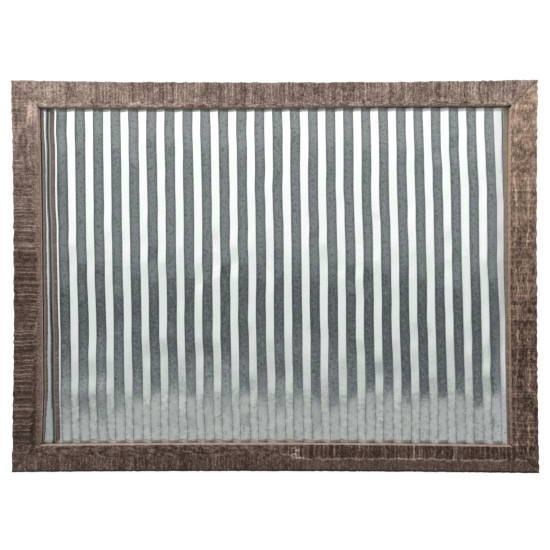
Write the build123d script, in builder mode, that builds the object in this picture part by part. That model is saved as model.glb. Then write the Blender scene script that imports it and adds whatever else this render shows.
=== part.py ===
from build123d import *
import math
import os

# A ribbed steel panel in a mitred frame of rough-sawn boards, with the hardware that hangs it.
# Millimetres. +X is to the viewer's right, the show side faces -Y, and +Z is up.
# The origin is the middle of the underside of the bottom rail, on which the panel can stand.

# Frame
WIDTH = 610.0  # over the two stiles
HEIGHT = 454.0  # over the two rails
FACE = 31.0  # width of a board on the show side
DEPTH = 28.0  # front to back
LIP = 12.0  # wood in front of the rabbet
RABBET = 8.0  # how far the rabbet is cut back behind the lip
SIDES = ("bottom_rail", "right_stile", "top_rail", "left_stile")

# Ribbed steel sheet
SHEET = 0.5  # thickness
PITCH = 21.0  # from rib to rib
RIBS = 26
FLANK = 20.6  # slope of a rib's left flank, degrees
LEFT_SHARE = 0.45  # of the pitch that the left flank takes up, the rest being the right flank
BEND = 2.0  # radius of a crest and of a valley, to the middle of the sheet
RIB_CENTRE = 9.0  # the ribbed stretch lies this far right of the frame's middle
PANEL_WIDTH = 556.0
PANEL_HEIGHT = 405.0

# Backing board and the points that hold it in
BOARD = 3.0
BOARD_WIDTH = 558.0
POINT_LENGTH = 16.0
POINT_WIDTH = 6.0
POINT_TIP = 4.0  # length of the sharpened end
POINT_THICKNESS = 0.5
POINT_GRIP = 8.0  # how much of a point is in the wood
POINTS_PER_RAIL = 3
POINTS_PER_STILE = 2
RAIL_POINT_SPACING = 190.0
STILE_POINT_SPACING = 200.0

# V-nails across each mitre
NAIL_LEG = 6.0
NAIL_THICKNESS = 0.6
NAIL_DEPTH = 10.0
NAIL_INSETS = (11.0, 19.0)  # of the two folds from the frame's outer edges

# Hangers: a folded strap, a wire ring and two screws
HANGER_DROP = 110.0  # from the top of the frame to the ring's hinge axis
STRAP_WIDTH = 10.0
STRAP_LENGTH = 33.0  # from the hinge axis to the strap's lower end
STRAP_THICKNESS = 0.8  # of one layer
WIRE = 2.0  # diameter
EYE_CLEARANCE = 0.05  # between wire and eye, on the radius
RING_HALF_WIDTH = 8.0
RING_CORNER = 2.0
RING_LEG = 3.0  # straight stretch between a corner and the round end
RING_TILT = 5.0  # degrees the hanging ring leans out from the wood
SCREW_DROPS = (18.5, 27.0)  # below the hinge axis
SCREW_SHANK = 3.0
SCREW_HOLE = 3.4
SCREW_LENGTH = 12.0
SCREW_TIP = 1.2
HEAD_DIAMETER = 6.0
HEAD_HEIGHT = 1.8
HEAD_ROUND = 0.9
RECESS_LENGTH = 3.4
RECESS_WIDTH = 0.7
RECESS_DEPTH = 1.0

# Bumpers
BUMPER_DIAMETER = 12.0
BUMPER_HEIGHT = 3.0
BUMPER_ROUND = 1.2
BUMPER_RISE = 40.0  # above the bottom edge

# Derived places
REAR_WALL = FACE - RABBET  # wood left beside the rabbet at the back
RABBET_LOW = REAR_WALL
RABBET_HIGH = HEIGHT - REAR_WALL
RABBET_SIDE = WIDTH / 2 - REAR_WALL
BACK = DEPTH / 2
LIP_BACK = LIP - DEPTH / 2
LEFT_SLOPE = math.tan(math.radians(FLANK))
SHARP_RISE = LEFT_SHARE * PITCH * LEFT_SLOPE  # height of the ribs before their bends are rounded
RIGHT_SLOPE = SHARP_RISE / ((1 - LEFT_SHARE) * PITCH)
LEFT_ANGLE, RIGHT_ANGLE = math.atan(LEFT_SLOPE), math.atan(RIGHT_SLOPE)
ROUNDING = BEND * ((math.sin(LEFT_ANGLE) + math.sin(RIGHT_ANGLE)) / math.sin(LEFT_ANGLE + RIGHT_ANGLE) - 1)
CREST = LIP_BACK + SHEET / 2
SHARP_CREST = CREST - ROUNDING
SHARP_VALLEY = SHARP_CREST + SHARP_RISE
VALLEY = SHARP_VALLEY - ROUNDING
FIRST_CREST = RIB_CENTRE - (RIBS - 1) / 2 * PITCH
LAST_CREST = RIB_CENTRE + (RIBS - 1) / 2 * PITCH
BOARD_FRONT = VALLEY + SHEET / 2
BOARD_BACK = BOARD_FRONT + BOARD
HANGER_X = WIDTH / 2 - REAR_WALL / 2
HANGER_Z = HEIGHT - HANGER_DROP
EYE_INNER = WIRE / 2 + EYE_CLEARANCE
EYE_OUTER = EYE_INNER + STRAP_THICKNESS
EYE_Y = BACK + EYE_OUTER
STRAP_TOP = BACK + 2 * STRAP_THICKNESS

# Sketch planes. On the first three a sketch's x is +X and its y is +Z, seen from the front.
FRONT_PLANE = Plane.XZ.offset(DEPTH / 2)
LIP_PLANE = FRONT_PLANE.offset(-LIP)
BACK_PLANE = Plane.XZ.offset(-BACK)


def write(builder, name):
    """Labels a finished piece and writes it."""
    builder.part.label = name
    export_step(builder.part, f"parts/{name}.step")


def outline(inset):
    """Corners of the frame's outline moved in by inset, anticlockwise from the lower left."""
    x = WIDTH / 2 - inset
    return [(-x, inset), (x, inset), (x, HEIGHT - inset), (-x, HEIGHT - inset)]


def mitred_board(side):
    """One board of the frame. Side 0 is the bottom rail, and the count goes anticlockwise."""
    start, end = side, (side + 1) % len(SIDES)
    outer, inner = outline(0), outline(FACE)
    with BuildPart() as board:
        with BuildSketch(FRONT_PLANE):
            with BuildLine():
                Polyline(outer[start], outer[end], inner[end], inner[start], close=True)
            make_face()
        extrude(amount=-DEPTH)
        with BuildSketch(LIP_PLANE):
            with Locations((0, HEIGHT / 2)):
                Rectangle(2 * RABBET_SIDE, RABBET_HIGH - RABBET_LOW)
        extrude(amount=LIP - DEPTH, mode=Mode.SUBTRACT)
    return board


def v_nails(corner_x, corner_z):
    """Two V-nails at one corner. Each has its fold on the mitre and one leg in each board."""
    side_x = math.copysign(1, corner_x)
    side_z = 1 if corner_z > 0 else -1
    with BuildPart() as nails:
        with BuildSketch(BACK_PLANE):
            for inset in NAIL_INSETS:
                fold = (corner_x - side_x * inset, corner_z - side_z * inset)
                with Locations(fold):
                    with Locations((side_x * (NAIL_LEG - NAIL_THICKNESS) / 2, 0)):
                        Rectangle(NAIL_LEG, NAIL_THICKNESS)
                    with Locations((0, side_z * (NAIL_LEG - NAIL_THICKNESS) / 2)):
                        Rectangle(NAIL_THICKNESS, NAIL_LEG)
        extrude(amount=NAIL_DEPTH)
    return nails


def points_row(wall, spacing, count, turn):
    """Retainer points in a row along one wall of the rabbet. Turn aims their tips into the wood."""
    over_board = POINT_LENGTH - POINT_GRIP
    shoulder = POINT_GRIP - POINT_TIP
    half = POINT_WIDTH / 2
    shape = [(-half, -over_board), (half, -over_board), (half, shoulder), (0, POINT_GRIP), (-half, shoulder)]
    along_x = turn in (0, 180)
    with BuildPart() as points:
        with BuildSketch(Plane.XZ.offset(-BOARD_BACK)):
            with Locations(wall):
                with GridLocations(spacing, spacing, count if along_x else 1, 1 if along_x else count):
                    Polygon(*shape, rotation=turn, align=None)
        extrude(amount=-POINT_THICKNESS)
    return points


def hanger_strap(x):
    """A strip folded round the ring's bar into an eye, with both layers lying down the stile."""
    section_plane = Plane(origin=(x - STRAP_WIDTH / 2, 0, 0), x_dir=(0, 1, 0), z_dir=(1, 0, 0))
    end_z = HANGER_Z - STRAP_LENGTH
    pinch_z = HANGER_Z - 3 * EYE_OUTER
    with BuildPart() as strap:
        with BuildSketch(section_plane):
            with Locations((EYE_Y, HANGER_Z)):
                Circle(EYE_OUTER)
            with BuildLine():
                Polyline(
                    (BACK, HANGER_Z),
                    (BACK, end_z),
                    (STRAP_TOP, end_z),
                    (STRAP_TOP, pinch_z),
                    (EYE_Y + EYE_OUTER, HANGER_Z),
                    close=True,
                )
            make_face()
            with Locations((EYE_Y, HANGER_Z)):
                Circle(EYE_INNER, mode=Mode.SUBTRACT)
        extrude(amount=STRAP_WIDTH)
        with BuildSketch(BACK_PLANE):
            with Locations(*[(x, HANGER_Z - drop) for drop in SCREW_DROPS]):
                Circle(SCREW_HOLE / 2)
        extrude(amount=-2 * STRAP_THICKNESS, mode=Mode.SUBTRACT)
        fillet(strap.edges().filter_by(Axis.Y).group_by(Axis.Z)[0], STRAP_WIDTH / 4)
    return strap


def hanger_ring(x):
    """A D of wire whose straight bar runs through the strap's eye, hanging over the strap."""
    tilt = math.radians(RING_TILT)
    ring_plane = Plane(
        origin=(x, EYE_Y, HANGER_Z), x_dir=(1, 0, 0), z_dir=(0, math.cos(tilt), math.sin(tilt))
    )
    half, corner = RING_HALF_WIDTH, RING_CORNER
    round_start = corner + RING_LEG
    with BuildPart() as ring:
        with BuildLine(ring_plane) as path:
            Line((0, 0), (half - corner, 0))
            JernArc((half - corner, 0), (1, 0), corner, 90)
            Line((half, corner), (half, round_start))
            JernArc((half, round_start), (0, 1), half, 180)
            Line((-half, round_start), (-half, corner))
            JernArc((-half, corner), (0, -1), corner, 90)
            Line((corner - half, 0), (0, 0))
        with BuildSketch(Plane(origin=path.wire() @ 0, z_dir=(1, 0, 0))):
            Circle(WIRE / 2)
        sweep()
    return ring


def hanger_screws(x):
    """Two pan-head wood screws with crossed recesses, their heads on the strap."""
    places = [(x, HANGER_Z - drop) for drop in SCREW_DROPS]
    head_plane = Plane.XZ.offset(-STRAP_TOP)
    with BuildPart() as screws:
        with BuildSketch(head_plane):
            with Locations(*places):
                Circle(HEAD_DIAMETER / 2)
        extrude(amount=-HEAD_HEIGHT)
        fillet(screws.edges().group_by(Axis.Y)[-1], HEAD_ROUND)
        with BuildSketch(head_plane.offset(-HEAD_HEIGHT)):
            with Locations(*places):
                Rectangle(RECESS_LENGTH, RECESS_WIDTH)
                Rectangle(RECESS_WIDTH, RECESS_LENGTH)
        extrude(amount=RECESS_DEPTH, mode=Mode.SUBTRACT)
        with BuildSketch(head_plane):
            with Locations(*places):
                Circle(SCREW_SHANK / 2)
        extrude(amount=SCREW_LENGTH)
        chamfer(screws.edges().group_by(Axis.Y)[0], 2 * SCREW_TIP, SCREW_TIP)
    return screws


def bumper(x):
    """A low rubber button stuck to the back of a stile."""
    with BuildPart() as button:
        with BuildSketch(BACK_PLANE):
            with Locations((x, BUMPER_RISE)):
                Circle(BUMPER_DIAMETER / 2)
        extrude(amount=-BUMPER_HEIGHT)
        fillet(button.edges().group_by(Axis.Y)[-1], BUMPER_ROUND)
    return button


os.makedirs("parts", exist_ok=True)

# The four boards
for number, name in enumerate(SIDES):
    write(mitred_board(number), name)

# V-nails at the four corners
for end, corner_z in (("bottom", 0.0), ("top", HEIGHT)):
    for hand, corner_x in (("left", -WIDTH / 2), ("right", WIDTH / 2)):
        write(v_nails(corner_x, corner_z), f"v_nails_{end}_{hand}")

# The ribbed sheet stands in the rabbet with its crests against the lip.
# Its left edge is a flat margin at the level of the valleys, and its right edge is cut on a flank.
with BuildPart() as corrugated_panel:
    margin_end = FIRST_CREST - (VALLEY - SHARP_CREST) / LEFT_SLOPE
    corners = [(-PANEL_WIDTH / 2, VALLEY), (margin_end, VALLEY)]
    for rib in range(RIBS):
        crest = FIRST_CREST + rib * PITCH
        corners.append((crest, SHARP_CREST))
        corners.append((crest + (1 - LEFT_SHARE) * PITCH, SHARP_VALLEY))
    right_edge = PANEL_WIDTH / 2
    corners[-1] = (right_edge, SHARP_CREST + (right_edge - LAST_CREST) * RIGHT_SLOPE)
    with BuildSketch(Plane.XY.offset(RABBET_LOW)):
        with BuildLine():
            FilletPolyline(*corners, radius=BEND)
            offset(amount=SHEET / 2, side=Side.BOTH)
        make_face()
    extrude(amount=PANEL_HEIGHT)
write(corrugated_panel, "corrugated_panel")

# The backing board stands in the rabbet behind the valleys.
with BuildPart() as backing_board:
    with BuildSketch(Plane.XY.offset(RABBET_LOW)):
        with Locations((0, (BOARD_FRONT + BOARD_BACK) / 2)):
            Rectangle(BOARD_WIDTH, BOARD)
    extrude(amount=PANEL_HEIGHT)
write(backing_board, "backing_board")

# Retainer points along the four walls of the rabbet
write(points_row((0, RABBET_HIGH), RAIL_POINT_SPACING, POINTS_PER_RAIL, 0), "retainer_points_top")
write(points_row((0, RABBET_LOW), RAIL_POINT_SPACING, POINTS_PER_RAIL, 180), "retainer_points_bottom")
write(points_row((-RABBET_SIDE, HEIGHT / 2), STILE_POINT_SPACING, POINTS_PER_STILE, 90), "retainer_points_left")
write(points_row((RABBET_SIDE, HEIGHT / 2), STILE_POINT_SPACING, POINTS_PER_STILE, -90), "retainer_points_right")

# Hangers and bumpers on the backs of the stiles
for hand, side_x in (("left", -1), ("right", 1)):
    write(hanger_strap(side_x * HANGER_X), f"hanger_strap_{hand}")
    write(hanger_ring(side_x * HANGER_X), f"hanger_ring_{hand}")
    write(hanger_screws(side_x * HANGER_X), f"hanger_screws_{hand}")
    write(bumper(side_x * HANGER_X), f"bumper_{hand}")
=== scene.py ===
import math

import bpy
import numpy as np
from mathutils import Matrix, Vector


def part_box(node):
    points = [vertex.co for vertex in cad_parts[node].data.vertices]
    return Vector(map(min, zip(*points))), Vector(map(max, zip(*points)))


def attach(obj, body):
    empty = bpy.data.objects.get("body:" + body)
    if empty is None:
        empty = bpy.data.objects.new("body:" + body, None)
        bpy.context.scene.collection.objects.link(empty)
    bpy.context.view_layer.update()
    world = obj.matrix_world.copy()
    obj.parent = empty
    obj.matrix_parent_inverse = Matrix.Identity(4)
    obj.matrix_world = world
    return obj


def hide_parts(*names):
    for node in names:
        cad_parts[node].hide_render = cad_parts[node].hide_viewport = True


# A ribbed galvanised panel in a mitred frame of rough-sawn boards. Metres, in the part's own frame.

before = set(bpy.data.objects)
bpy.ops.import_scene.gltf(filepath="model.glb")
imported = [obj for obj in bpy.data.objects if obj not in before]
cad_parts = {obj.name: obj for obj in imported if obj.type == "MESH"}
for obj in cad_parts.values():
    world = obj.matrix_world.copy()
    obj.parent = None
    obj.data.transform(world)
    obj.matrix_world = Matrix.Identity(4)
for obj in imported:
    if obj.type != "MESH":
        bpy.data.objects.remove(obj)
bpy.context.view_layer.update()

# Sizes that the boxes of the parts don't tell
LIP = 0.012  # wood in front of the rabbet
RABBET = 0.008  # how far the rabbet is cut back behind the lip
SHEET = 0.0005  # thickness of the steel
PITCH = 0.021  # from rib to rib
RIBS = 26
RIB_CENTRE = 0.0090  # the ribbed stretch lies this far right of the frame's middle
FLANK = math.radians(20.6)  # slope of a rib's left flank
LEFT_SHARE = 0.45  # of the pitch that the left flank takes up
BEND = 0.002  # radius of a crest and of a valley

# Sizes read from the parts
stile_low, stile_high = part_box("left_stile")
rail_low, rail_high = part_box("top_rail")
FACE = rail_high.z - rail_low.z
FRONT = rail_low.y
DEPTH = rail_high.y - FRONT
LEFT, RIGHT, BOTTOM, TOP = stile_low.x, rail_high.x, stile_low.z, stile_high.z
WIDTH, HEIGHT = rail_high.x - rail_low.x, TOP - BOTTOM
CENTRE_X, CENTRE_Z = (LEFT + RIGHT) / 2, (BOTTOM + TOP) / 2
sheet_low, sheet_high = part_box("corrugated_panel")


# ---------------------------------------------------------------- camera

CAMERA_DISTANCE = 1.05  # from the front of the frame
CAMERA_HEIGHT = 0.2456  # above the underside of the frame
SENSOR = 36.0  # millimetres
VIEW_WIDTH = 0.6383  # what the picture spans at the front of the frame
SHIFT_X, SHIFT_Y = -0.0003, -0.0267  # of the picture's width

camera_data = bpy.data.cameras.new("camera")
camera_data.sensor_width = SENSOR
camera_data.lens = SENSOR * CAMERA_DISTANCE / VIEW_WIDTH
camera_data.shift_x = SHIFT_X
camera_data.shift_y = SHIFT_Y
camera = bpy.data.objects.new("camera", camera_data)
camera.location = (0, FRONT - CAMERA_DISTANCE, CAMERA_HEIGHT)
camera.rotation_euler = (math.radians(90), 0, 0)
bpy.context.scene.collection.objects.link(camera)
bpy.context.scene.camera = camera


# ---------------------------------------------------------------- helpers

def value_noise(x, y, cell_x, cell_y, seed):
    """Smooth noise from 0 to 1 over two coordinates, with features about one cell in size."""
    u, v = np.broadcast_arrays(x / cell_x, y / cell_y)
    u, v = u - u.min(), v - v.min()
    lattice = np.random.default_rng(seed).random((int(u.max()) + 3, int(v.max()) + 3))
    i, j = u.astype(int), v.astype(int)
    a, b = u - i, v - j
    a, b = a * a * (3 - 2 * a), b * b * (3 - 2 * b)
    low = lattice[i, j] * (1 - a) + lattice[i + 1, j] * a
    high = lattice[i, j + 1] * (1 - a) + lattice[i + 1, j + 1] * a
    return low * (1 - b) + high * b


def smoothstep(low, high, x):
    """0 below low, 1 above high and smooth between. Low may be the larger one."""
    t = np.clip((x - low) / (high - low), 0, 1)
    return t * t * (3 - 2 * t)


def grid_faces(rows, columns, closed):
    """Quads between the rows and columns of a grid of points. Closed joins the last column to the first."""
    i = np.arange(rows - 1)[:, None]
    j = np.arange(columns if closed else columns - 1)[None, :]
    after = (j + 1) % columns
    quads = np.stack(np.broadcast_arrays(
        i * columns + j, i * columns + after, (i + 1) * columns + after, (i + 1) * columns + j), -1)
    return quads.reshape(-1, 4)


def make_mesh(name, points, faces, material, attributes=None, smooth=True):
    """A mesh object from arrays of points and faces, with a number at each point for each attribute."""
    mesh = bpy.data.meshes.new(name)
    mesh.from_pydata(points.reshape(-1, 3).tolist(), [], [list(f) for f in faces])
    mesh.update()
    mesh.shade_smooth() if smooth else mesh.shade_flat()
    for key, values in (attributes or {}).items():
        layer = mesh.attributes.new(key, "FLOAT", "POINT")
        layer.data.foreach_set("value", np.asarray(values, np.float32).ravel())
    mesh.materials.append(material)
    piece = bpy.data.objects.new(name, mesh)
    bpy.context.scene.collection.objects.link(piece)
    return piece


class Nodes:
    """A short way to build a node tree: each call adds a node and returns its output."""

    def __init__(self, tree):
        self.tree = tree

    def node(self, kind, inputs=None, **settings):
        made = self.tree.nodes.new(kind)
        for key, value in settings.items():
            setattr(made, key, value)
        for key, value in (inputs or {}).items():
            self.put(made.inputs[key], value)
        return made

    def put(self, socket, value):
        if isinstance(value, bpy.types.NodeSocket):
            self.tree.links.new(value, socket)
        else:
            socket.default_value = value

    def ramp(self, factor, low, high, out_low=0.0, out_high=1.0, smooth=True):
        inputs = {"Value": factor, "From Min": low, "From Max": high, "To Min": out_low, "To Max": out_high}
        kind = "SMOOTHSTEP" if smooth else "LINEAR"
        return self.node("ShaderNodeMapRange", inputs, interpolation_type=kind).outputs[0]

    def mix(self, factor, a, b, blend="MIX"):
        made = self.node("ShaderNodeMix", data_type="RGBA", blend_type=blend)
        for key, value in (("Factor", factor), ("A", a), ("B", b)):
            self.put(made.inputs[key], value)
        return made.outputs["Result"]

    def math(self, operation, a, b):
        return self.node("ShaderNodeMath", {0: a, 1: b}, operation=operation).outputs[0]


class Shader(Nodes):
    """The nodes of a material, with the ways its maker names and measures things."""

    def __init__(self, name):
        self.material = bpy.data.materials.new(name)
        self.material.use_nodes = True
        super().__init__(self.material.node_tree)
        self.surface = self.tree.nodes["Principled BSDF"]

    def set(self, **values):
        for key, value in values.items():
            self.put(self.surface.inputs[key.replace("_", " ")], value)

    def place(self):
        return self.node("ShaderNodeTexCoord").outputs["Object"]

    def stretched(self, scale):
        return self.node("ShaderNodeMapping", {"Vector": self.place(), "Scale": scale}).outputs[0]

    def attribute(self, name):
        return self.node("ShaderNodeAttribute", attribute_name=name).outputs["Fac"]

    def noise(self, vector, scale, detail, roughness=0.55):
        inputs = {"Vector": vector, "Scale": scale, "Detail": detail, "Roughness": roughness}
        return self.node("ShaderNodeTexNoise", inputs).outputs["Fac"]

    def bump(self, height, distance, strength, normal=None):
        inputs = {"Height": height, "Distance": distance, "Strength": strength}
        if normal is not None:
            inputs["Normal"] = normal
        return self.node("ShaderNodeBump", inputs).outputs[0]


# ---------------------------------------------------------------- materials

STAIN = (0.150, 0.098, 0.078, 1)  # the darkest wood, as the picture shows it
DISPLAY_GAMMA = 2.2
FIBRE_STRETCH = 0.25  # the fibres' noise runs four times as far along the grain as across it


def rough_sawn_wood(name, lengthways, seed, pale):
    """Stained wood. The mesh's own numbers say how pale each place is, and noise adds pores and fibres."""
    s = Shader(name)
    tone = s.attribute("tone")
    across = tuple(FIBRE_STRETCH if k == lengthways else 1.0 for k in range(3))
    fibres = s.noise(s.stretched(across), 620.0 + seed, 2.0, 0.6)
    pores = s.noise(s.place(), 830.0 + seed, 2.0, 0.8)
    hue = s.noise(s.place(), 70.0 + seed, 3.0, 0.6)
    tone = s.math("ADD", tone, s.ramp(fibres, 0.30, 0.70, -0.10, 0.10, False))
    tone = s.math("ADD", tone, s.ramp(pores, 0.30, 0.70, -0.25, 0.25, False))
    tone = s.math("MAXIMUM", s.math("MINIMUM", tone, 1.15), 0.0)
    stained = s.mix(tone, STAIN, pale + (1,))
    reddish = s.ramp(hue, 0.50, 0.72, 0.0, 0.5)
    greenish = s.ramp(hue, 0.50, 0.30, 0.0, 0.5)
    stained = s.mix(reddish, stained, (1.00, 0.92, 0.92, 1), "MULTIPLY")
    stained = s.mix(greenish, stained, (0.94, 0.97, 0.86, 1), "MULTIPLY")
    colour = s.node("ShaderNodeGamma", {"Color": stained, "Gamma": DISPLAY_GAMMA}).outputs[0]
    bump = s.bump(s.math("ADD", fibres, pores), 0.0003, 0.9)
    s.set(Base_Color=colour, Roughness=s.ramp(hue, 0.3, 0.7, 0.60, 0.78), Normal=bump)
    s.surface.inputs["Specular IOR Level"].default_value = 0.30
    return s.material


ZINC_GREEN, ZINC_BLUE = (0.625, 0.665, 0.645, 1), (0.660, 0.662, 0.682, 1)
DARK_FLECK_ZINC = (0.60, 0.60, 0.60, 1)  # multiplies the zinc in its dark flecks, on the right-facing flanks: partly spangle, partly painted shade
BRIGHT_FLECK_ZINC = (0.97, 1.0, 1.0, 1)  # its bright flecks, on the same flanks: partly spangle, partly painted glints
FOLD_SHADOW = (0.10, 0.10, 0.10, 1)  # painted shade along crests and valleys
BLOOM = (0.74, 0.735, 0.72, 1)  # white rust near the bottom
PITTED = (0.22, 0.23, 0.22, 1)  # the dark specks in it
# Painted shade for the crease beside the flat margin
CREASE_SHADE = (0.06, 0.055, 0.045, 1)
UNDER_TOP = (0.0030, 0.0008)  # where the sheet grows dull, measured down from the top rail's inner edge
OVER_BOTTOM = (0.0046, 0.0022)  # and up from the bottom rail's
RIM_WANDER = 0.0016  # how raggedly it does
RIM_ROUGHNESS = 0.38


def galvanised_steel(name):
    """Zinc coat with fine grain and clouds of hue, flecks on the ribs' lee flanks that are partly painted
    shade, painted shade along the folds and in the crease, and bloom low down.
    """
    s = Shader(name)
    low, lee, fold, crease = (s.attribute(key) for key in ("low", "lee", "fold", "crease"))
    cloud = s.noise(s.place(), 38.0, 4.0, 0.6)
    hue = s.noise(s.stretched((1.0, 1.0, 0.30)), 62.0, 3.0, 0.55)
    grain = s.noise(s.place(), 370.0, 3.0, 0.6)
    mottle = s.noise(s.place(), 150.0, 4.0, 0.65)
    specks = s.noise(s.place(), 380.0, 2.0, 0.6)
    patch = s.ramp(s.noise(s.place(), 26.0, 3.0, 0.6), 0.42, 0.58)

    tone = s.mix(s.ramp(hue, 0.36, 0.64), ZINC_GREEN, ZINC_BLUE)
    # Flecks only on the right-facing flanks, which reflect the dark walls: the zinc's spangle, plus painted
    # shade that darkens those flanks and painted glints
    shade = s.math("MULTIPLY", lee, s.ramp(low, 0.0, 1.0, 1.0, 0.35))
    mottled = s.math("MULTIPLY", s.math("MAXIMUM", shade, 0.06), s.ramp(grain, 0.50, 0.34))
    tone = s.mix(mottled, tone, DARK_FLECK_ZINC, "MULTIPLY")
    bright_flecks = s.math("MULTIPLY", shade, s.ramp(grain, 0.52, 0.68))
    tone = s.mix(s.math("MULTIPLY", bright_flecks, 0.20), tone, BRIGHT_FLECK_ZINC)
    # Painted shade along crests and valleys, on right-facing flanks and low down
    folded = s.math("MULTIPLY", fold, s.math("MAXIMUM", lee, low))
    tone = s.mix(s.math("MULTIPLY", folded, 0.37), tone, FOLD_SHADOW)
    bloom = s.math("MULTIPLY", low, s.ramp(mottle, 0.42, 0.60))
    tone = s.mix(s.math("MULTIPLY", bloom, 0.8), tone, BLOOM)
    pits = s.math("MULTIPLY", s.math("MULTIPLY", low, patch), s.ramp(specks, 0.55, 0.66))
    tone = s.mix(s.math("MULTIPLY", pits, 0.55), tone, PITTED)
    # Painted shade in the crease beside the flat margin
    tone = s.mix(crease, tone, CREASE_SHADE)

    rough = s.ramp(grain, 0.50, 0.74, 0.03, 0.22)
    rough = s.math("ADD", rough, s.math("MULTIPLY", bloom, 0.06))
    height = s.node("ShaderNodeSeparateXYZ", {"Vector": s.place()}).outputs["Z"]
    height = s.math("ADD", height, s.math("MULTIPLY", mottle, RIM_WANDER))
    under_top = s.ramp(height, *(TOP - FACE - down for down in UNDER_TOP))
    over_bottom = s.ramp(height, *(BOTTOM + FACE + up for up in OVER_BOTTOM))
    rim = s.math("MAXIMUM", under_top, over_bottom)
    rough = s.math("MAXIMUM", rough, s.math("MULTIPLY", rim, RIM_ROUGHNESS))
    waves = s.bump(cloud, 0.0004, 0.25)
    waves = s.bump(grain, 0.00001, 0.5, waves)
    s.set(Base_Color=tone, Roughness=rough, Normal=waves)
    s.surface.inputs["Metallic"].default_value = 1.0
    return s.material


def hardboard(name):
    """Pressed wood fibre, brown, with fine fibres and handling marks."""
    s = Shader(name)
    fibre = s.noise(s.stretched((1.0, 1.0, 0.35)), 900.0, 4.0, 0.7)
    blotch = s.noise(s.place(), 14.0, 4.0, 0.6)
    colour = s.mix(s.ramp(blotch, 0.3, 0.7), (0.19, 0.105, 0.055, 1), (0.25, 0.145, 0.078, 1))
    colour = s.mix(s.ramp(fibre, 0.45, 0.75, 0.0, 0.5), colour, (0.36, 0.24, 0.14, 1))
    s.set(Base_Color=colour, Roughness=s.ramp(blotch, 0.3, 0.7, 0.42, 0.6))
    s.set(Normal=s.bump(fibre, 0.0001, 0.6))
    return s.material


def plated_steel(name, colour, dull):
    """Zinc-plated or bare steel with a faint mottle and fine scratches."""
    s = Shader(name)
    mottle = s.noise(s.place(), 260.0, 4.0, 0.6)
    scratch = s.noise(s.stretched((1.0, 1.0, 9.0)), 700.0, 3.0, 0.6)
    tinted = tuple(0.78 * c for c in colour) + (1,)
    base = s.mix(s.ramp(mottle, 0.35, 0.7), tuple(colour) + (1,), tinted)
    s.set(Base_Color=base, Roughness=s.ramp(scratch, 0.3, 0.7, dull, dull + 0.14))
    s.set(Normal=s.bump(scratch, 0.00003, 0.4))
    s.surface.inputs["Metallic"].default_value = 1.0
    return s.material


def rubber(name):
    """Black rubber with a dusty bloom."""
    s = Shader(name)
    dust = s.noise(s.place(), 500.0, 4.0, 0.6)
    colour = s.mix(s.ramp(dust, 0.4, 0.75), (0.020, 0.020, 0.021, 1), (0.060, 0.058, 0.055, 1))
    s.set(Base_Color=colour, Roughness=s.ramp(dust, 0.3, 0.7, 0.55, 0.75))
    s.set(Normal=s.bump(dust, 0.00005, 0.5))
    return s.material


# ---------------------------------------------------------------- the four boards

ALONG_STEP = 0.00057  # between the rows of a board's mesh
SECTION_STEPS = (0.0009, 0.0013, 0.004, 0.004, 0.0017, 0.0014)  # and between the points on its six sides
ARRIS = 0.0008  # radius of a worn edge
GROOVE = 0.0005  # depth of the wood between saw marks
PORE = 0.00035  # depth of the pores
SCALLOP = 0.0011  # how far the sawn outer edge wanders
INNER_CUT = 0.3  # how much of that the inner edge does
SOFT_EDGE = 0.008  # how far from an edge its scallops and its bow die out
RUN_ON = 0.02  # how far the saw marks' profiles run on past a board's ends
BOW_AT = (-0.5, -0.3, 0, 0.25, 0.5)  # places along a board where its look says how far its inner edge bows

# How far each side of the frame bows outward: in its middle, with its place, and with its place squared
LEFT_BOW = (-0.0004, 0.0004, 0.0028)
RIGHT_BOW = (-0.0001, -0.0008, 0.0018)
TOP_BOW = (-0.0009, 0.0004, 0.0026)
BOTTOM_BOW = (-0.0001, 0.0006, 0.0018)


def hand_cut(points):
    """Moves points of the frame so that its four sides bow a little, as the real boards do."""
    u = (points[..., 0] - CENTRE_X) / (WIDTH / 2)
    v = (points[..., 2] - CENTRE_Z) / (HEIGHT / 2)

    def bow(side, place):
        return side[0] + side[1] * place + side[2] * place ** 2

    moved = points.copy()
    moved[..., 0] += (1 + u) / 2 * bow(RIGHT_BOW, v) - (1 - u) / 2 * bow(LEFT_BOW, v)
    moved[..., 2] += (1 + v) / 2 * bow(TOP_BOW, u) - (1 - v) / 2 * bow(BOTTOM_BOW, u)
    return moved


SHOWN, INNER, OUTER = 0, 1, 5  # three of the six sides of a board's section, by number


def board_section():
    """Points round a board's section: place from the outer edge, depth, outward normal and side number."""
    cut = FACE - RABBET
    corners = [(0, 0), (FACE, 0), (FACE, LIP), (cut, LIP), (cut, DEPTH), (0, DEPTH)]
    normals = [(0, -1), (1, 0), (0, 1), (1, 0), (0, 1), (-1, 0)]
    points = []
    for side, (start, step) in enumerate(zip(corners, SECTION_STEPS)):
        end = corners[(side + 1) % len(corners)]
        length = math.dist(start, end)
        count = round((length - 2 * ARRIS) / step) + 1
        for t in np.linspace(ARRIS, length - ARRIS, count):
            here = [start[k] + (end[k] - start[k]) * t / length for k in (0, 1)]
            points.append((*here, *normals[side], side))
        turn = normals[(side + 1) % len(corners)]
        lean = (normals[side][0] + turn[0], normals[side][1] + turn[1])
        pull = 0.0 if side == 2 else -ARRIS * (1 - math.sqrt(0.5))
        points.append((end[0] + lean[0] * pull, end[1] + lean[1] * pull,
                       lean[0] * math.sqrt(0.5), lean[1] * math.sqrt(0.5), side))
    return np.array(points)


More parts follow.
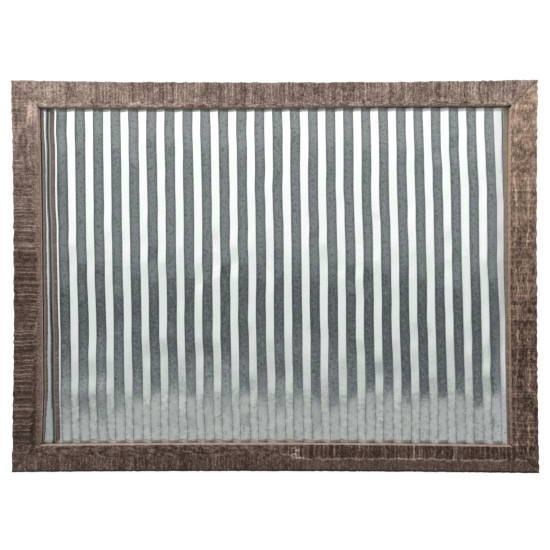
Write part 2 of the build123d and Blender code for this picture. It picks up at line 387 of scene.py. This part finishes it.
def saw_marks(rng, length, pitch, width):
    """Profiles along a board: the crests that a saw leaves, and the level of the wood between them."""
    fine = np.arange(-length / 2 - RUN_ON, length / 2 + RUN_ON, 0.0001)
    crest, level = np.zeros_like(fine), np.zeros_like(fine)
    at = fine[0]
    while at < fine[-1]:
        wide = rng.uniform(*width)
        crest = np.maximum(crest, rng.uniform(0.25, 1) * np.exp(-((fine - at) / wide) ** 2))
        level[fine >= at] = rng.random()
        at += rng.uniform(*pitch)
    soft = np.hanning(13) / np.hanning(13).sum()
    return fine, crest, np.convolve(level, soft, "same")


def board_surface(length, gaps, seed):
    """A mitred board as arrays with a row for each place along it and a column for each point of its section.

    S is the place along the board, a runs inward from its outer edge, d from front to back, and around
    follows the section from the outer front edge. Front, inner and hidden are 1 on those sides and 0
    elsewhere. Mitre is the distance to the nearer end.
    """
    a, d, normal_a, normal_d, side = board_section().T
    share = np.linspace(-1, 1, round(length / ALONG_STEP))[:, None]
    reach = length / 2 - a[None, :] - np.where(share < 0, *gaps) / 2
    s = share * reach
    evenly = np.ones_like(s)
    perimeter = np.concatenate([[0], np.cumsum(np.hypot(np.diff(a), np.diff(d)))])
    around = np.where(side == OUTER, perimeter - perimeter[-1], perimeter) * evenly
    front, outer, inner = ((side == which) * evenly for which in (SHOWN, OUTER, INNER))
    return dict(length=length, seed=seed, s=s, a=a * evenly, d=d, around=around, normal=(normal_a, normal_d),
                front=front, inner=inner, hidden=1 - np.maximum(np.maximum(front, outer), inner),
                mitre=np.minimum(reach - s, reach + s), evenly=evenly)


def saw_and_grit(state, look):
    """Adds the saw marks, the level of the wood between them and the grit to a board's state."""
    s, around, seed = state["s"], state["around"], state["seed"]
    wobble = 0.0012 * (value_noise(s, around, 0.03, 0.006, seed + 1) - 0.5)
    slant = 0.03 * (value_noise(s, 0 * around, 0.09, 1, seed + 2) - 0.5)
    rng = np.random.default_rng(seed)
    fine, crest, level = saw_marks(rng, state["length"], look["pitch"], look["width"])
    at = s + slant * around + wobble
    broken = 0.30 + 0.70 * smoothstep(0.25, 0.60, value_noise(s, around, 0.016, 0.007, seed + 3))
    state["crest"] = np.interp(at, fine, crest) * broken
    state["level"] = np.interp(at, fine, level)
    speckle = 0.8 * value_noise(s, around, *look["speckle"], seed + 4)
    state["speckle"] = speckle + 0.2 * value_noise(s, around, 0.0041, 0.0037, seed + 5)
    state["lines"] = look["lines"] * state["evenly"]
    state["grit"] = look["grit"] * state["evenly"]
    state["drop"] = 0 * state["evenly"]


def tone_and_drop(state, look):
    """How pale a board is at each point, and how far its surface lies below the flat one there."""
    hidden, front, level, speckle = (state[key] for key in ("hidden", "front", "level", "speckle"))
    patches = value_noise(state["s"], state["around"], 0.022, 0.012, state["seed"] + 8)
    rub = 0.55 * (1 - hidden) + 0.45 * front
    lines = state["lines"] * (state["crest"] - 0.30) + 0.40 * state["lines"] * (level - 0.5)
    tone = state["tone"] + rub * (lines + state["grit"] * (speckle - 0.5) + 0.08 * (patches - 0.5))
    drop = GROOVE * (0.3 + 0.7 * level) * (1 - 0.85 * state["crest"]) + PORE * (1 - speckle)
    drop = (drop + state["drop"]) * (0.25 + 0.75 * rub)

    arris = np.exp(-(state["mitre"] / 0.0007) ** 2) * (1 - hidden)
    from_edge = np.minimum(np.abs(state["around"]), np.abs(state["a"] - FACE) + 1.0 * (1 - front))
    rim = np.exp(-(from_edge / ARRIS) ** 2)
    # Inner paints light on the inner faces (shade under the top rail), and deep paints bounce light on them
    # toward the sheet
    deep = smoothstep(0.003, 0.011, state["d"])[None, :]
    tone = tone + look["arris"] * arris + 0.10 * rim * (1 - hidden)
    tone = tone + (look["inner"] + look.get("deep", 0) * deep) * state["inner"]
    return np.clip(tone, 0, 1), drop + 0.0004 * arris


def board_points(state, look, drop, along, inward, middle):
    """A board's points in space, with its edges scalloped and bowed and its surface let down by drop."""
    s, a, d = state["s"], state["a"], state["d"]
    scallop = look.get("scallop", SCALLOP) * value_noise(s, 0 * a, 0.0043, 1, state["seed"] + 6)
    outer_share = smoothstep(SOFT_EDGE, 0.0, a) * np.where(d < LIP, 1.0, 0.7)[None, :]
    inner_share = look.get("inner_cut", INNER_CUT) * smoothstep(FACE - 0.005, FACE, a)
    bow = np.interp(s / state["length"], BOW_AT, look["bow"]) * smoothstep(FACE - SOFT_EDGE, FACE, a)
    normal_a, normal_d = state["normal"]
    at_a = a + scallop * (outer_share - inner_share) + bow - normal_a * drop
    at_d = d - normal_d * drop
    return hand_cut(np.array(middle)[None, None, :] + s[..., None] * along + at_a[..., None] * inward
                    + at_d[..., None] * np.array([0, 1.0, 0]))


def board(name, along, inward, middle, gaps, look, features, seed):
    """One rough-sawn board, mitred at both ends. Look gives its saw marks and tones, features its tears.

    Along is the grain's direction, inward points to the sheet, and middle is that of the outer front edge.
    """
    along, inward = np.array(along, float), np.array(inward, float)
    state = board_surface(WIDTH if along[0] else HEIGHT, gaps, seed)
    saw_and_grit(state, look)
    x = middle[0] + state["s"] * along[0] + state["a"] * inward[0]
    z = middle[2] + state["s"] * along[2] + state["a"] * inward[2]
    sideways = 2 * (x - CENTRE_X) / WIDTH
    # Tone by height, paler upward: partly the stain, partly painted light from above
    state["tone"] = np.interp(z, look["heights"], look["tones"]) + look.get("ends", 0) * (sideways ** 2 - 0.4)
    features(state)
    tone, drop = tone_and_drop(state, look)
    points = board_points(state, look, drop, along, inward, middle)

    rows, columns = tone.shape
    faces = grid_faces(rows, columns, True).tolist()
    faces.append(list(range(columns - 1, -1, -1)))
    faces.append(list(range((rows - 1) * columns, rows * columns)))
    if np.cross(along, inward)[1] < 0:
        faces = [f[::-1] for f in faces]
    material = rough_sawn_wood("wood_" + name, look["streaks"], seed, look["pale"])
    piece = make_mesh("sawn_" + name, points, faces, material, {"tone": tone})
    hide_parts(name)
    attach(piece, "frame")


def ridge(state, place, strength, width, present_above=0.4):
    """A pale broken line along the grain at a place across the board."""
    s, a, seed = state["s"], state["a"], state["seed"]
    ragged = 0.0022 * (value_noise(s, 0 * a, 0.005, 1, seed + 40) - 0.5)
    line = np.exp(-((a - place - ragged) / width) ** 2) * state["front"]
    breaks = value_noise(s, 0 * a, 0.012, 1, seed + 41)
    present = smoothstep(present_above - 0.15, present_above + 0.15, breaks)
    state["tone"] = state["tone"] + strength * line * present
    state["drop"] = state["drop"] - 0.0002 * line * present


# Where the left board's smooth strip begins, as a share of its width, at places from its foot to its head
STRIP_AT = (0, 0.08, 0.2, 0.35, 0.47, 0.6, 0.75, 0.9, 1)
STRIP_EDGE = (0.60, 0.66, 0.76, 0.80, 0.93, 0.84, 0.72, 0.55, 0.50)


def left_stile_features(state):
    """Saw marks on the outer part, a dark smooth strip inside them, and a worn, paler upper end."""
    s, a, length, seed, front = (state[key] for key in ("s", "a", "length", "seed", "front"))
    up = s / length + 0.5
    edge = FACE * np.interp(up, STRIP_AT, STRIP_EDGE)
    edge = edge + 0.003 * (value_noise(s, 0 * a, 0.008, 1, seed + 20) - 0.5)
    inside = smoothstep(edge - 0.0008, edge + 0.0008, a) * front
    strip = inside * smoothstep(FACE - 0.003, FACE - 0.006, a)
    lower = smoothstep(0.62, 0.15, up)
    state["lines"] = state["lines"] * (1 - 0.8 * inside)
    state["grit"] = state["grit"] * (1 - 0.4 * strip * lower)
    state["crest"] = state["crest"] * (1 - 0.8 * inside)
    state["tone"] = state["tone"] - 0.15 * strip * lower + 0.07 * (inside - strip)
    state["drop"] = state["drop"] + 0.0004 * strip
    mottled = smoothstep(0.70, 0.86, up)
    state["lines"] = state["lines"] * (1 - 0.45 * mottled)
    grain = value_noise(s, a, 0.011, 0.0018, seed + 22) - 0.5
    state["tone"] = state["tone"] + 0.34 * mottled * grain * front
    patch = np.exp(-((up - 0.92) / 0.028) ** 2 - ((a - 0.75 * FACE) / 0.006) ** 2) * front
    state["tone"] = state["tone"] + 0.38 * patch
    state["lines"] = state["lines"] * (1 - 0.7 * patch)
    rim = np.exp(-((a - edge) / 0.0009) ** 2) * front
    state["tone"] = state["tone"] + 0.16 * rim * (value_noise(s, 0 * a, 0.006, 1, seed + 21) > 0.5)


def top_rail_features(state):
    """Chatter along the inner edge, in short pale flecks, and blocks of paler and darker saw marks."""
    s, a, seed, front = (state[key] for key in ("s", "a", "seed", "front"))
    wander = 0.004 * (value_noise(s, 0 * a, 0.05, 1, seed + 20) - 0.5)
    band = smoothstep(0.68 * FACE, 0.78 * FACE, a + wander) * front
    flecks = value_noise(s + 0.8 * a, a, 0.0042, 0.0016, seed + 21) - 0.5
    state["lines"] = state["lines"] * (1 - 0.7 * band)
    state["tone"] = state["tone"] + band * (0.45 * flecks - 0.02)
    state["tone"] = state["tone"] + 0.15 * (value_noise(s, 0 * a, 0.0055, 1, seed + 30) - 0.5) * front
    state["drop"] = state["drop"] + 0.0004 * band * (0.5 - flecks)
    state["tone"] = state["tone"] - 0.16 * smoothstep(0.955 * FACE, 0.985 * FACE, a) * front


def right_stile_features(state):
    """Two pale lines along the grain, with blocks of deep and shallow saw marks between them."""
    s, a, seed, front = (state[key] for key in ("s", "a", "seed", "front"))
    blocks = value_noise(s, np.round(a / (0.4 * FACE)), 0.009, 1, seed + 20)
    deep = smoothstep(0.42, 0.60, blocks) * smoothstep(FACE - 0.002, FACE - 0.004, a) * front
    state["tone"] = state["tone"] - 0.13 * (deep - 0.4)
    state["drop"] = state["drop"] + 0.0004 * deep
    state["lines"] = state["lines"] * (1 - 0.3 * deep)
    outer_wander = 0.0025 * (value_noise(s, 0 * a, 0.06, 1, seed + 21) - 0.5)
    inner_wander = 0.0035 * (value_noise(s, 0 * a, 0.05, 1, seed + 22) - 0.5)
    ridge(state, 0.38 * FACE + outer_wander, 0.26, 0.0009)
    ridge(state, 0.80 * FACE + inner_wander, 0.26, 0.0010, 0.3)
    state["tone"] = state["tone"] - 0.07 * smoothstep(0.90 * FACE, 0.94 * FACE, a) * front


def bottom_rail_features(state):
    """Clean saw marks above a ragged tear on the right half, fuzzy grain on the left, a painted highlight on
    the inner edge, painted contact shadow along the bottom.
    """
    s, a, seed, front = (state[key] for key in ("s", "a", "seed", "front"))
    right = smoothstep(-0.005, 0.03, s)
    wander = value_noise(s, 0 * a, 0.035, 1, seed + 20) - 0.5
    place = FACE * (0.50 + 0.12 * wander + 0.20 * (1 - right))
    ridge(state, place, 0.40 * right, 0.0011, 0.25)
    below = smoothstep(place, place - 0.0015, a) * front * right
    state["lines"] = state["lines"] * (1 + 0.8 * right) * (1 - 0.85 * below)
    state["drop"] = state["drop"] + 0.0006 * below
    fuzz = value_noise(s + a, a, 0.0050, 0.0018, seed + 21) - 0.5
    upper = smoothstep(0.45 * FACE, 0.65 * FACE, a) * (1 - right) * front
    state["tone"] = state["tone"] + 0.40 * fuzz * upper
    state["lines"] = state["lines"] * (1 - 0.8 * upper)
    torn = np.exp(-((s - 0.022) / 0.010) ** 2 - ((a - 0.72 * FACE) / 0.005) ** 2) * front
    chips = value_noise(s - a, a, 0.006, 0.0025, seed + 23) > 0.62
    state["tone"] = state["tone"] + torn * (0.5 * chips - 0.05)
    # Painted highlight along the inner edge, where the ledge catches light from above
    ragged = value_noise(s, 0 * a, 0.0042, 1, seed + 24)
    painted_highlight_edge = smoothstep(0.94 * FACE + 0.0012 * ragged, 0.99 * FACE, a) * front
    state["tone"] = state["tone"] + 0.36 * ragged * painted_highlight_edge
    # Painted contact shadow: the wood within 3 mm of the bottom edge is darkened
    state["tone"] = state["tone"] - 0.45 * smoothstep(0.0030, 0.0014, a)


X, Z = (1, 0, 0), (0, 0, 1)
STILE_HEIGHTS = (0.02, 0.12, 0.24, 0.34, 0.44)

# The looks of the four boards. Pitch and width are those of the saw marks. Speckle is the size of the grit
# along and across. Lines, grit and arris say how strong each is in tone. Tones go with heights, and ends adds
# to them away from the frame's middle; the paler tones higher up and on the top rail are partly the stain and
# partly painted light from above. Inner is the tone added on the inner face, painted light on the bottom ledge
# and the side faces and painted shade under the top rail, and deep is painted bounce light that comes on top
# of it toward the sheet. Streaks is the axis of the grain. Pale is the lightest wood, as the picture shows it.
TOP_LOOK = dict(
    pitch=(0.0020, 0.0048), width=(0.0005, 0.0008), speckle=(0.0013, 0.0011), lines=0.33, grit=0.36,
    heights=(0, 1), tones=(0.53, 0.54), ends=0.11, arris=-0.15, inner=-0.05, streaks=2,
    bow=(0, 0, -0.0008, -0.0022, -0.0012), pale=(0.800, 0.720, 0.675))
BOTTOM_LOOK = dict(
    pitch=(0.0024, 0.0068), width=(0.0005, 0.0011), speckle=(0.0013, 0.0013), lines=0.26, grit=0.22,
    heights=(0, 1), tones=(0.26, 0.26), ends=0.06, arris=0.10, inner=0.68, streaks=2,
    bow=(0.0003, 0.0009, 0.0014, 0.0011, 0.0002), pale=(0.800, 0.710, 0.660), scallop=0.0005, inner_cut=0.7)
LEFT_LOOK = dict(
    pitch=(0.0018, 0.0058), width=(0.0005, 0.0009), speckle=(0.0014, 0.0015), lines=0.46, grit=0.16,
    heights=STILE_HEIGHTS, tones=(0.24, 0.29, 0.34, 0.42, 0.54), arris=0.05, inner=0.32, deep=0.40, streaks=0,
    bow=(0.0012, 0.0028, 0.0010, 0.0006, 0.0004), pale=(0.800, 0.710, 0.665))
RIGHT_LOOK = dict(
    pitch=(0.0026, 0.0080), width=(0.0006, 0.0012), speckle=(0.0030, 0.0011), lines=0.24, grit=0.52,
    heights=STILE_HEIGHTS, tones=(0.22, 0.29, 0.39, 0.51, 0.72), arris=0.05, inner=0.28, deep=0.12, streaks=2,
    bow=(0.0002, 0.0009, 0.0013, 0.0013, 0.0010), pale=(0.810, 0.700, 0.615))
TL, TR, BL, BR = 0.0001, 0.0006, 0.0005, 0.0002  # how far the mitre joints at the four corners stand open

board("top_rail", X, (0, 0, -1), (CENTRE_X, FRONT, TOP), (TL, TR), TOP_LOOK, top_rail_features, 11)
board("bottom_rail", X, (0, 0, 1), (CENTRE_X, FRONT, BOTTOM), (BL, BR), BOTTOM_LOOK, bottom_rail_features, 23)
board("left_stile", Z, (1, 0, 0), (LEFT, FRONT, CENTRE_Z), (BL, TL), LEFT_LOOK, left_stile_features, 37)
board("right_stile", Z, (-1, 0, 0), (RIGHT, FRONT, CENTRE_Z), (BR, TR), RIGHT_LOOK, right_stile_features, 53)


# ---------------------------------------------------------------- the ribbed sheet

ROW_STEP = 0.0037  # between the rows of the sheet's mesh
FLAT_STEP = 0.0032  # between its points on a flank
MARGIN_STEP = 0.002  # and on the flat left margin
FLANGE_STEP = 0.0011  # the flat margin stands this far in front of the first valley
FLANGE_EDGE = -0.2660  # where it ends
FLANGE_FALL = 0.0020  # the width in which it falls to that valley
FLANGE_BEND = 0.0006  # the radius of its bends
FIRST_BEND = 0.0019  # the first rib falls gently this far to its left, then steeply to the margin
GENTLE, STEEP = math.radians(14), math.radians(26.5)
LAST_RUNS = ((0.0032, 17.1), (0.0040, 11), (0.0044, 7), (0.0069, -20))  # the last rib's runs and degrees
LAST_SLOPE = math.radians(0.5)  # of the rest, behind the right board
SHARP_RISE = LEFT_SHARE * PITCH * math.tan(FLANK)  # height of a rib before its bends are rounded
RIGHT_FLANK = math.atan(SHARP_RISE / ((1 - LEFT_SHARE) * PITCH))
ROUNDING = BEND * ((math.sin(FLANK) + math.sin(RIGHT_FLANK)) / math.sin(FLANK + RIGHT_FLANK) - 1)
CREST_Y = sheet_low.y + SHEET / 2
VALLEY_Y = CREST_Y + SHARP_RISE - 2 * ROUNDING
FIRST_CREST = RIB_CENTRE - (RIBS - 1) / 2 * PITCH
LEAN = 0.0135  # ribs drift this much to the right for each unit down
BULGE = 0.0004  # how far the sheet swells forward between the rails
HELD_LEFT, HELD_RIGHT = (-0.272, -0.277), (0.2635, 0.2750)  # where the ribs' drift dies out sideways
OPEN_PART = (0.273, 0.262)  # where the swelling does
FLAT_ENDS = (0.13, 0.20)  # where the swelling dies out, up and down from the middle
BLOOM_TOP = (0.115, 0.070)  # the heights between which the bloom fades in
CREASE_AT = FLANGE_EDGE + 0.0028  # the painted shade line in the crease beside the flat margin
CREASE_WIDTH = (0.0024, 0.0011)  # how far to its sides it fades out
LEE_FLANK = (0.05, 0.20)  # how far a flank must face right to count as in the lee, where its flecks darken it as painted shade
FOLD_WIDTH = 0.0012  # of the painted shade line along each crest and valley
RIBBED_PART = 0.262  # how far from the middle these lines are drawn


def rounded_line(corners, radius, flat_step):
    """A line through corners in x and y with each bend rounded by an arc of five points."""
    points = [np.array(corners[0])]
    for before, corner, after in zip(corners, corners[1:], corners[2:]):
        before, corner, after = map(np.array, (before, corner, after))
        arrive = (corner - before) / np.linalg.norm(corner - before)
        leave = (after - corner) / np.linalg.norm(after - corner)
        turn = math.atan2(arrive[0] * leave[1] - arrive[1] * leave[0], arrive @ leave)
        tangent = radius * math.tan(abs(turn) / 2)
        start = corner - arrive * tangent
        side = np.array([-arrive[1], arrive[0]]) * math.copysign(1, turn)
        flat = np.linalg.norm(start - points[-1])
        count = max(1, round(flat / flat_step))
        points += [points[-1] + (start - points[-1]) * k / count for k in range(1, count)]
        centre = start + side * radius
        for angle in np.linspace(0, turn, 5):
            spoke = start - centre
            turned = (spoke[0] * math.cos(angle) - spoke[1] * math.sin(angle),
                      spoke[0] * math.sin(angle) + spoke[1] * math.cos(angle))
            points.append(centre + np.array(turned))
    points.append(np.array(corners[-1]))
    return np.array(points)


def sheet_line():
    """The middle of the sheet seen from above, from the left edge to the right, with its forward normal."""
    sharp_crest = CREST_Y - ROUNDING
    flange = VALLEY_Y - FLANGE_STEP
    corners = [(sheet_low.x, flange), (FLANGE_EDGE, flange), (FLANGE_EDGE + FLANGE_FALL, VALLEY_Y)]
    bend = (FIRST_CREST - FIRST_BEND, sharp_crest + FIRST_BEND * math.tan(GENTLE))
    corners += [(bend[0] - (VALLEY_Y - bend[1]) / math.tan(STEEP), VALLEY_Y), bend]
    for rib in range(RIBS):
        crest = FIRST_CREST + rib * PITCH
        corners += [(crest, sharp_crest), (crest + (1 - LEFT_SHARE) * PITCH, sharp_crest + SHARP_RISE)]
    corners = corners[:-3]
    for run, slope in LAST_RUNS:
        corners.append((corners[-1][0] + run, corners[-1][1] + run * math.tan(math.radians(slope))))
    corners.append((sheet_high.x, corners[-1][1] + (sheet_high.x - corners[-1][0]) * math.tan(LAST_SLOPE)))
    margin = rounded_line(corners[:5], FLANGE_BEND, MARGIN_STEP)
    line = np.concatenate([margin[:-1], rounded_line(corners[3:], BEND, FLAT_STEP)[1:]])
    along = np.gradient(line, axis=0)
    normal = np.stack([along[:, 1], -along[:, 0]], -1) / np.linalg.norm(along, axis=1)[:, None]
    return line[:, 0], line[:, 1], normal


def sheet_points(xs, ys, normal):
    """Both faces of the sheet in rows, each going right on the front and back again, with uneven ribs."""
    rows = round((sheet_high.z - sheet_low.z) / ROW_STEP) + 1
    z = np.linspace(sheet_low.z, sheet_high.z, rows)[:, None]
    middle = (sheet_low.z + sheet_high.z) / 2
    rib = xs[None, :] / PITCH
    across = xs[None, :] / sheet_high.x
    lean = LEAN * (1 + 0.33 * across + 0.74 * across ** 2)
    wander = 0.0015 * (value_noise(rib, z, 3.2, 0.075, 71) - 0.5)
    wander = wander + 0.0010 * (value_noise(rib, z, 0.9, 0.022, 72) - 0.5)
    held = np.maximum(smoothstep(*HELD_RIGHT, xs), smoothstep(*HELD_LEFT, xs))[None, :]
    x = xs[None, :] + (lean * (middle - z) + wander) * (1 - held)
    ends = smoothstep(*FLAT_ENDS, np.abs(z - middle))
    bulge = value_noise(rib, z, 1.3, 0.055, 73) + 0.8 * value_noise(rib, z, 5, 0.13, 74)
    bulge = bulge + 0.5 * value_noise(rib, z, 0.8, 0.027, 76)
    y = ys[None, :] - BULGE * bulge * (1 - ends) * smoothstep(*OPEN_PART, np.abs(xs))[None, :]

    def face(offset):
        right, forward = offset * normal[None, :, 0], offset * normal[None, :, 1]
        return np.stack(np.broadcast_arrays(x + right, y + forward, z), -1)

    return np.concatenate([face(SHEET / 2), face(-SHEET / 2)[:, ::-1]], 1)


def sheet_faces(rows, columns):
    """Quads over both faces and the two side edges of the sheet, and along its lower and upper edges."""
    faces = grid_faces(rows, columns, True).tolist()
    for row in (0, rows - 1):
        for j in range(columns // 2 - 1):
            a, b = row * columns + j, row * columns + j + 1
            c, d = row * columns + columns - 2 - j, row * columns + columns - 1 - j
            faces.append([a, d, c, b] if row == 0 else [a, b, c, d])
    return faces


def sheet_marks(points, xs, normal):
    """What the material asks of each point: is it low, in the crease, on a lee flank or on a fold."""
    ragged = 0.02 * (value_noise(points[..., 0], points[..., 2], 0.02, 0.02, 75) - 0.5)
    evenly = np.ones(points.shape[:2])
    x = np.concatenate([xs, xs[::-1]]) * evenly
    facing_right = np.concatenate([normal[:, 0], normal[::-1, 0]]) * evenly
    in_rib = (x - FIRST_CREST) % PITCH
    to_fold = np.minimum(np.minimum(in_rib, PITCH - in_rib), np.abs(in_rib - (1 - LEFT_SHARE) * PITCH))
    return {
        "low": smoothstep(*BLOOM_TOP, points[..., 2] + ragged),
        "crease": smoothstep(*CREASE_WIDTH, np.abs(x - CREASE_AT)),
        "lee": smoothstep(*LEE_FLANK, facing_right),
        "fold": np.exp(-(to_fold / FOLD_WIDTH) ** 2) * (np.abs(x) < RIBBED_PART)}


def ribbed_sheet():
    """The thin ribbed sheet, drawn again with the small irregularities of the real one."""
    xs, ys, normal = sheet_line()
    points = sheet_points(xs, ys, normal)
    marks = sheet_marks(points, xs, normal)
    faces = sheet_faces(*points.shape[:2])
    piece = make_mesh("ribbed_sheet", points, faces, galvanised_steel("galvanised"), marks)
    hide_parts("corrugated_panel")
    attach(piece, "frame")


ribbed_sheet()


# ---------------------------------------------------------------- materials on the CAD pieces

def dress(material, *nodes):
    """Gives CAD nodes one material."""
    for node in nodes:
        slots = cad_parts[node].data.materials
        slots.clear()
        slots.append(material)


zinc = plated_steel("zinc_plate", (0.70, 0.70, 0.66), 0.26)
bare = plated_steel("bare_steel", (0.38, 0.37, 0.37), 0.38)
CORNERS = ("top_left", "top_right", "bottom_left", "bottom_right")
dress(hardboard("hardboard"), "backing_board")
dress(bare, *[f"v_nails_{corner}" for corner in CORNERS])
dress(zinc, *[f"retainer_points_{side}" for side in ("top", "bottom", "left", "right")])
for hand in ("left", "right"):
    dress(zinc, f"hanger_strap_{hand}", f"hanger_ring_{hand}", f"hanger_screws_{hand}")
dress(rubber("black_rubber"), "bumper_left", "bumper_right")


# ---------------------------------------------------------------- stage and light

# How bright each side of the room is, from left to right, at each height of the direction that is looked in
BRIGHT_WALL = ((-0.161, 0.64), (-0.157, 0.83), (-0.130, 0.93), (-0.095, 1.12), (-0.020, 1.22), (0.010, 1.40),
               (0.120, 1.53), (0.150, 1.66))
SOFT_WALL = ((-0.165, 0.52), (-0.140, 0.55), (-0.097, 0.62), (-0.020, 0.85), (0.012, 0.97), (0.060, 1.12),
             (0.120, 1.30))
CENTRE_WALL = ((-0.175, 0.26), (-0.155, 0.20), (-0.120, 0.13), (-0.060, 0.12), (-0.018, 0.13), (0.015, 0.17),
               (0.150, 0.20))
GREY_WALL = ((-0.180, 0.66), (-0.165, 0.59), (-0.150, 0.45), (-0.135, 0.36), (-0.120, 0.30), (-0.060, 0.19),
             (-0.018, 0.20), (0.012, 0.345), (0.120, 0.365), (0.140, 0.39), (0.158, 0.48))
FAR_WALL = ((-0.180, 0.64), (-0.1535, 0.60), (-0.149, 0.29), (-0.135, 0.24), (-0.120, 0.20), (-0.060, 0.18),
            (-0.018, 0.20), (0.012, 0.345), (0.120, 0.365), (0.140, 0.39), (0.158, 0.48))

# The sideways directions between which one wall goes over into the next
BRIGHT_TO_SOFT, SOFT_TO_CENTRE = (-0.47, -0.30), (-0.20, -0.06)
CENTRE_TO_GREY, GREY_TO_FAR = (0.18, 0.36), (0.52, 0.64)

SHADE_TINT = (0.90, 1.0, 1.03, 1)  # of the dark walls
LOW_TINT, HIGH_TINT = (0.965, 1.0, 0.965, 1), (1.0, 1.0, 0.985, 1)  # of the bright walls
WHITE = (1, 1, 1, 1)
WORLD_FILL = 0.75  # what lights the rough surfaces
WORLD_SEEN = 1.05  # what the camera sees behind the frame
FLOOR_SIZE = 12.0
FLOOR_DROP = 0.0025  # below the part's own underside, to clear the lowest corner of the hand-cut frame
FLOOR_GLOW = 0.95
KEY_PLACE = Vector((-0.35, -0.95, 1.25))
KEY_POWER = 9.0
KEY_SIZE = 0.9


def wall(s, height, stops):
    """How bright one side of the room is, from the floor in front up past the horizon."""
    levels = s.node("ShaderNodeValToRGB", {"Fac": s.ramp(height, -0.5, 0.5, smooth=False)})
    elements = levels.color_ramp.elements
    while len(elements) < len(stops):
        elements.new(0.5)
    for element, (place, level) in zip(elements, stops):
        element.position = place + 0.5
        element.color = (level / 2, level / 2, level / 2, 1)
    return s.ramp(levels.outputs["Color"], 0.0, 1.0, 0.0, 2.0, smooth=False)


def room_walls(s):
    """What mirror-like rays see: bright at the left, dark in front and grey at the right."""
    direction = s.node("ShaderNodeTexCoord").outputs["Generated"]
    split = s.node("ShaderNodeSeparateXYZ", {"Vector": direction})
    x, z = split.outputs["X"], split.outputs["Z"]
    walls = (BRIGHT_WALL, SOFT_WALL, CENTRE_WALL, GREY_WALL, FAR_WALL)
    bright, soft, centre, grey, far = (wall(s, z, stops) for stops in walls)
    level = s.ramp(x, *CENTRE_TO_GREY, centre, grey)
    level = s.ramp(x, *GREY_TO_FAR, level, far)
    level = s.ramp(x, *SOFT_TO_CENTRE, soft, level)
    level = s.ramp(x, *BRIGHT_TO_SOFT, bright, level)
    glare = s.mix(s.ramp(z, -0.05, 0.02), LOW_TINT, HIGH_TINT)
    return s.mix(s.ramp(level, 0.20, 0.80), SHADE_TINT, glare), level


def studio_world():
    """A white room. The camera sees plain white, rough surfaces get even light and mirrors show the walls."""
    world = bpy.data.worlds.new("studio")
    bpy.context.scene.world = world
    world.use_nodes = True
    world.cycles.sampling_method = "NONE"
    world.node_tree.nodes.clear()
    s = Nodes(world.node_tree)

    def glow(colour, strength):
        return s.node("ShaderNodeBackground", {"Color": colour, "Strength": strength}).outputs[0]

    path = s.node("ShaderNodeLightPath").outputs
    even, walls, white = glow(WHITE, WORLD_FILL), glow(*room_walls(s)), glow(WHITE, WORLD_SEEN)
    lit = s.node("ShaderNodeMixShader", {0: path["Is Glossy Ray"], 1: even, 2: walls}).outputs[0]
    seen = s.node("ShaderNodeMixShader", {0: path["Is Camera Ray"], 1: lit, 2: white}).outputs[0]
    s.node("ShaderNodeOutputWorld", {"Surface": seen})


def floor():
    """A large pale floor under the frame. Mirror-like rays pass through it to the room's walls."""
    s = Shader("pale_floor")
    mottle = s.noise(s.place(), 3.0, 2.0)
    s.set(Base_Color=s.mix(s.ramp(mottle, 0.3, 0.7), (0.34, 0.34, 0.34, 1), (0.36, 0.36, 0.36, 1)))
    s.surface.inputs["Roughness"].default_value = 0.9
    s.surface.inputs["Specular IOR Level"].default_value = 0.0
    s.surface.inputs["Emission Color"].default_value = (1, 1, 1, 1)
    s.surface.inputs["Emission Strength"].default_value = FLOOR_GLOW
    half = FLOOR_SIZE / 2
    level = BOTTOM - FLOOR_DROP
    corners = np.array([(i * half, j * half, level) for i, j in ((-1, -1), (1, -1), (1, 1), (-1, 1))])
    ground = make_mesh("floor", corners, [(0, 1, 2, 3)], s.material, smooth=False)
    ground.visible_glossy = False


def key_light():
    """One large soft light above and to the left, in front of the frame."""
    data = bpy.data.lights.new("key", "AREA")
    data.shape = "RECTANGLE"
    data.size, data.size_y = KEY_SIZE, KEY_SIZE / 2
    data.energy = KEY_POWER
    lamp = bpy.data.objects.new("key", data)
    lamp.location = KEY_PLACE
    aim = Vector((CENTRE_X, FRONT, CENTRE_Z)) - KEY_PLACE
    lamp.rotation_euler = aim.to_track_quat("-Z", "Y").to_euler()
    lamp.visible_glossy = lamp.visible_camera = False
    bpy.context.scene.collection.objects.link(lamp)


studio_world()
floor()
key_light()
bpy.context.scene.view_settings.view_transform = "Standard"
